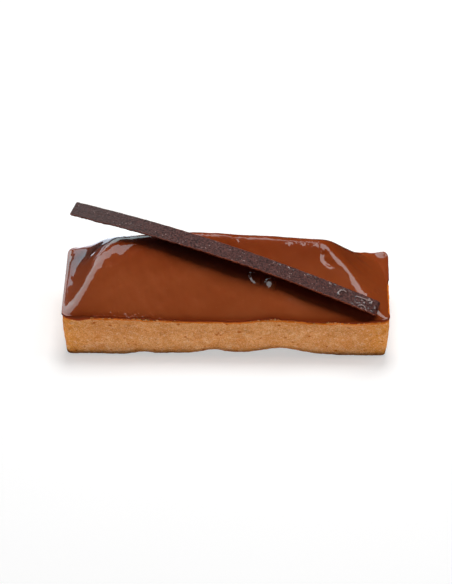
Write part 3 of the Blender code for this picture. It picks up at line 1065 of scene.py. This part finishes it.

# %% [markdown]
# ## Dark chocolate
# The face of the stick is satin and nearly grey-brown, with a fine sugar grain whose pale specks are partly
# painted glints; its left part is painted greyer for its sheen.  Its cut sides and edges are rough, and a
# redder brown is painted along them for the light they catch.  The marks and beads are wet, and they are
# painted paler for their glints.  A second material could be painted on them; an attribute that turns up
# the clear coat keeps the stick in one material.

# %% Stick finish


def dark_chocolate():
    """Purple-brown satin face with dark specks, pale specks as partly painted glints, and painted sheen, edge
    light and bead glints.
    """
    finish = Finish("dark chocolate", 0.46)
    grain = finish.noise(1500, 4.0, 0.75)
    colour = finish.mix(finish.span(grain, 0.38, 0.62), from_screen(40, 18, 16), from_screen(92, 54, 49))
    specks = finish.span(finish.cells(950), 0.14, 0.27, 1.0, 0.0)
    # partly painted highlight: the pale specks stand for sugar grain and for tiny glints on it
    pale = finish.maths("MULTIPLY", specks, finish.span(finish.noise(300, 2.0), 0.48, 0.60))
    colour = finish.mix(finish.maths("MULTIPLY", pale, 0.85), colour, from_screen(158, 130, 124))
    dark = finish.maths("MULTIPLY", specks, finish.span(finish.noise(510, 2.0), 0.40, 0.30, 0.0, 1.0))
    colour = finish.mix(dark, colour, from_screen(22, 8, 6))
    share = finish.attribute("length_share")
    # painted reflection: the left part of the face is painted greyer for the sheen it shows there
    colour = finish.mix(finish.span(share, 0.60, 0.90, 0.0, 0.5), colour, from_screen(64, 52, 50))
    # painted light: a redder brown is painted along the rims for the light the edges catch
    ragged = finish.maths("MULTIPLY", finish.noise(900, 3.0, 0.6), 0.22)
    rim = finish.span(finish.maths("ADD", finish.attribute("edge_light_share"), ragged), 0.985, 1.06)
    right_edge_light, left_edge_light = from_screen(150, 68, 38), from_screen(120, 70, 58)
    edge_light_colour = finish.mix(finish.span(share, 0.45, 0.85), right_edge_light, left_edge_light)
    colour = finish.mix(finish.maths("MULTIPLY", rim, 0.8), colour, edge_light_colour)
    wet = finish.attribute("wet_glint_share")
    # painted highlight: the wet marks and beads are painted paler for their glints; the clear coat gives
    # their real gloss
    colour = finish.mix(finish.span(wet, 0.45, 0.95, 0.0, 0.7), colour, from_screen(168, 146, 142))
    finish.put("Base Color", colour)
    finish.put("Specular IOR Level", 0.15)
    finish.put("Coat Weight", finish.span(wet, 0.03, 0.20))
    finish.put("Coat Roughness", 0.06)
    coarse = finish.bump(finish.noise(700, 4.0, 0.6), 0.00020, 0.8)
    finish.put("Normal", finish.bump(grain, 0.00012, 0.9, under=coarse))
    return finish.material


stick.data.materials.append(dark_chocolate())
print("finish:", stick.data.materials[0].name)

# %% [markdown]
# ## Table
# The tart stands on a plain pale table.  A sheet with soft lamps could do, but its brightness would change
# with every lamp, so the table glows a little by itself.  A second, brighter card lies just under it and
# lights the crust from below, as a white table does.  The camera doesn't see the card, and the table is left
# out of the diffuse light, so that the card's light passes it.

# %% Table and card
TABLE_HALF = 2.5                     # m; its middle, hidden under the tart, stays open
TABLE_OPENING = 2 * MM
TABLE_GREY = 0.52
TABLE_GLOW = 0.52
CARD_HALF_X, CARD_HALF_Y = 60 * MM, 21.5 * MM
CARD_LEVEL = -0.1 * MM
CARD_GAP = 1.6 * MM                  # between the crust and the card
CARD_REACH = 120 * MM
CARD_GLOW = 1.75


def add_table(name, inner, outer, level, grey, glow):
    """A flat ring between two loops at one level, of one grey, that glows by itself."""
    rise = np.array([0.0, 0.0, level])
    table = skin(name, np.array([outer + rise, inner + rise]))
    finish = Finish(name, 0.9)
    finish.put("Base Color", (grey, grey, grey, 1.0))
    finish.put("Specular IOR Level", 0.0)
    finish.put("Emission Color", (1.0, 1.0, 1.0, 1.0))
    finish.put("Emission Strength", glow)
    table.data.materials.append(finish.material)
    table.visible_glossy = False
    return table


def square_loop(half_x, half_y, count=24):
    """A level rectangle about the origin with count points on each side."""
    share = np.linspace(-1, 1, count, endpoint=False)
    one = np.ones(count)
    loop = np.concatenate([np.stack([share, -one], 1), np.stack([one, share], 1),
                           np.stack([-share, one], 1), np.stack([-one, -share], 1)])
    return np.concatenate([loop * [half_x, half_y], np.zeros((4 * count, 1))], axis=1)


opening = square_loop(TABLE_OPENING, TABLE_OPENING)
table = add_table("table", opening, square_loop(TABLE_HALF, TABLE_HALF), 0.0, TABLE_GREY, TABLE_GLOW)
table.visible_diffuse = False
near = square_loop(CARD_HALF_X + CARD_GAP, CARD_HALF_Y + CARD_GAP)
far = square_loop(CARD_HALF_X + CARD_REACH, CARD_HALF_Y + CARD_REACH)
card = add_table("foot_card", near, far, CARD_LEVEL, 0.0, CARD_GLOW)
card.visible_camera = False
print("table", 2 * TABLE_HALF, "m wide; card glows", CARD_GLOW)

# %% [markdown]
# ## Lights
# A mirror glaze needs two kinds of light.  Some lamps light the colours and throw the stick's soft shadow;
# the glaze must not mirror them, or its front slope would turn grey.  Others are only there to be mirrored.
# A box at the back left and a round one at the back right draw the bright lines along the hips, two low ones
# brighten the left end, and a window at the front left gives the small steps their glints.  The glaze
# doesn't mirror the table, so one of them can stand below it.  A room picture could light everything at
# once, but then no line could be moved alone.

# %% Lights
AIM = np.array([0.0, 0.0, 20.0]) * MM
WHITE = (1.0, 1.0, 1.0)
ROOM_LIGHT = 0.01
LIGHTS = (  # name, turn from +Y to +X and height in degrees, distance, width and height in m, shape,
            # watts, colour, and whether it is mirrored or lights the colours
    ("left box", -41, 43, 0.60, 0.70, 0.64, "RECTANGLE", 4.4, (0.74, 0.94, 1.0), True),
    ("right box", 57, 61, 0.60, 0.38, 0.34, "ELLIPSE", 1.25, (0.86, 0.97, 1.0), True),
    ("left window", -35, 6, 0.60, 0.12, 0.10, "RECTANGLE", 0.060, (0.62, 0.85, 1.0), True),
    ("left glow", -18, -16, 0.60, 0.19, 0.36, "RECTANGLE", 0.45, (0.76, 0.86, 1.0), True),
    ("front window", -122, 43, 0.60, 0.36, 0.30, "ELLIPSE", 0.95, (0.86, 0.95, 1.0), True),
    ("key", 5, 69, 0.80, 0.34, 0.42, "RECTANGLE", 5.9, WHITE, False),
    ("right fill", 80, 60, 0.80, 0.30, 0.30, "RECTANGLE", 1.4, WHITE, False),
    ("left fill", -80, 60, 0.80, 0.30, 0.30, "RECTANGLE", 0.6, WHITE, False),
)


def add_light(name, turn, height, distance, width, tall, shape, watts, colour, mirrored):
    """A flat soft light that faces the tart, and is either only mirrored by it or only lights it."""
    turn, height = np.radians([turn, height])
    away = np.array([np.sin(turn) * np.cos(height), np.cos(turn) * np.cos(height), np.sin(height)])
    right = np.array([np.cos(turn), -np.sin(turn), 0.0])
    place = np.eye(4)
    place[:3, :3] = np.column_stack([right, np.cross(away, right), away])
    place[:3, 3] = AIM + distance * away
    light = bpy.data.lights.new(name, "AREA")
    light.shape = shape
    light.size = width
    light.size_y = tall
    light.energy = watts
    light.color = colour
    lamp = bpy.data.objects.new(name, light)
    lamp.matrix_world = Matrix(place.tolist())
    lamp.visible_glossy = mirrored
    lamp.visible_diffuse = not mirrored
    bpy.context.scene.collection.objects.link(lamp)


for row in LIGHTS:
    add_light(*row)
world = bpy.data.worlds.new("studio")
world.use_nodes = True
background = world.node_tree.nodes["Background"]
background.inputs["Color"].default_value = (*WHITE, 1.0)
background.inputs["Strength"].default_value = ROOM_LIGHT
bpy.context.scene.world = world
bpy.context.scene.view_settings.view_transform = "Standard"
print("lights:", ", ".join(row[0] for row in LIGHTS))
